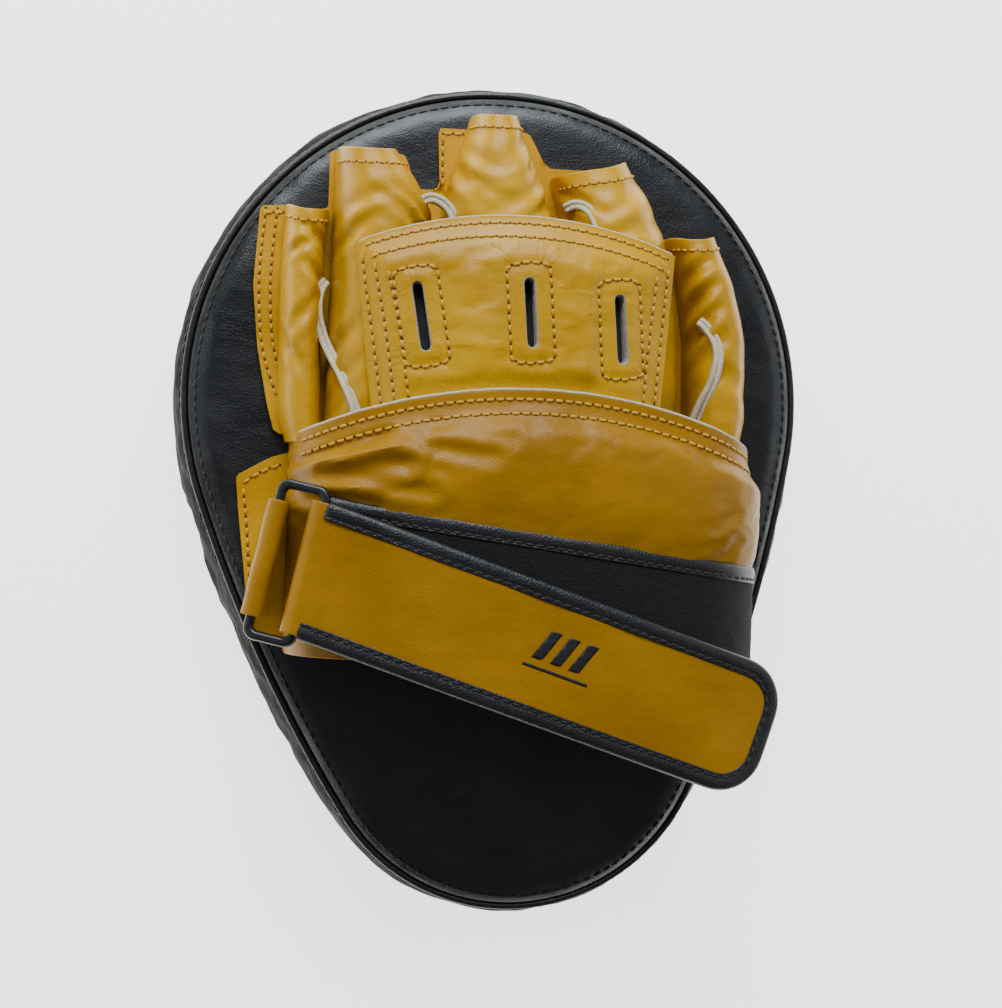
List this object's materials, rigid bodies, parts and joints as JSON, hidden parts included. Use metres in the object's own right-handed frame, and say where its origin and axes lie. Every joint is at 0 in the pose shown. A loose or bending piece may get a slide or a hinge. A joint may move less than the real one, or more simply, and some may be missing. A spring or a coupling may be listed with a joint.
{
  "type": "boxing focus mitt",
  "caption": "Right-hand focus mitt: thick egg-shaped leather pad with a glove of open finger sleeves, padded hand-back and a hook-and-loop wrist strap through a ring.",
  "frame": {"origin": "on the flat striking face, under the middle of the pad's length and width", "axes": "+Z out of the back of the pad towards the glove, +Y towards the finger tips, +X towards the little finger, so the thumb is at -X"},
  "size_m": [0.204, 0.2681, 0.0927],
  "materials": {
    "black_leather": "semi-gloss smooth black leather",
    "yellow_leather": "semi-gloss smooth golden yellow leather",
    "raw_leather": "raw cream leather edge",
    "foam_firm": "firm closed-cell foam sheet",
    "foam_soft": "soft open-cell foam sheet",
    "felt": "pale felt",
    "lining": "woven black lining",
    "loop_tape": "black loop tape with a matt pile",
    "hook_tape": "black hook tape",
    "binding": "semi-gloss black binding",
    "ring_black": "black coated steel wire"
  },
  "bodies": {
    "mitt": {"striking_face": "black_leather", "side_gusset": "black_leather", "back_panel": "black_leather", "foam_front_firm": "foam_firm", "foam_middle": "foam_soft", "foam_back_soft": "foam_soft", "front_seam_welt": "black_leather", "back_seam_welt": "black_leather", "palm_panel": "yellow_leather", "thumb_strip": "yellow_leather", "cuff_wing": "yellow_leather", "thumb_sleeve": "yellow_leather", "index_sleeve": "yellow_leather", "middle_sleeve": "yellow_leather", "ring_finger_sleeve": "yellow_leather", "little_sleeve": "yellow_leather", "welt_thumb_index": "raw_leather", "welt_index_middle": "raw_leather", "welt_middle_ring": "raw_leather", "welt_ring_little": "raw_leather", "hand_back_panel": "yellow_leather", "hand_back_padding": "foam_soft", "hand_back_lining": "lining", "knuckle_panel": "yellow_leather", "knuckle_padding": "felt", "knuckle_lining": "lining", "strap_run": "yellow_leather", "loop_tape": "loop_tape", "run_binding_upper": "binding", "run_binding_lower": "binding", "ring_tab": "yellow_leather"},
    "ring": {"strap_ring": "ring_black", "strap_fold": "yellow_leather"},
    "flap": {"flap_leather": "yellow_leather", "hook_patch": "hook_tape", "flap_binding": "binding"}
  },
  "joints": [
    {"name": "ring_swivel", "type": "hinge", "parent": "mitt", "child": "ring", "pos_m": [-0.07937, -0.01774, 0.0775], "axis": [-0.2079, -0.9781, 0], "range_deg": [0, 35]},
    {"name": "strap_peel", "type": "hinge", "parent": "ring", "child": "flap", "pos_m": [-0.0664, -0.0205, 0.082], "axis": [-0.2079, -0.9781, 0], "range_deg": [0, 130]}
  ]
}
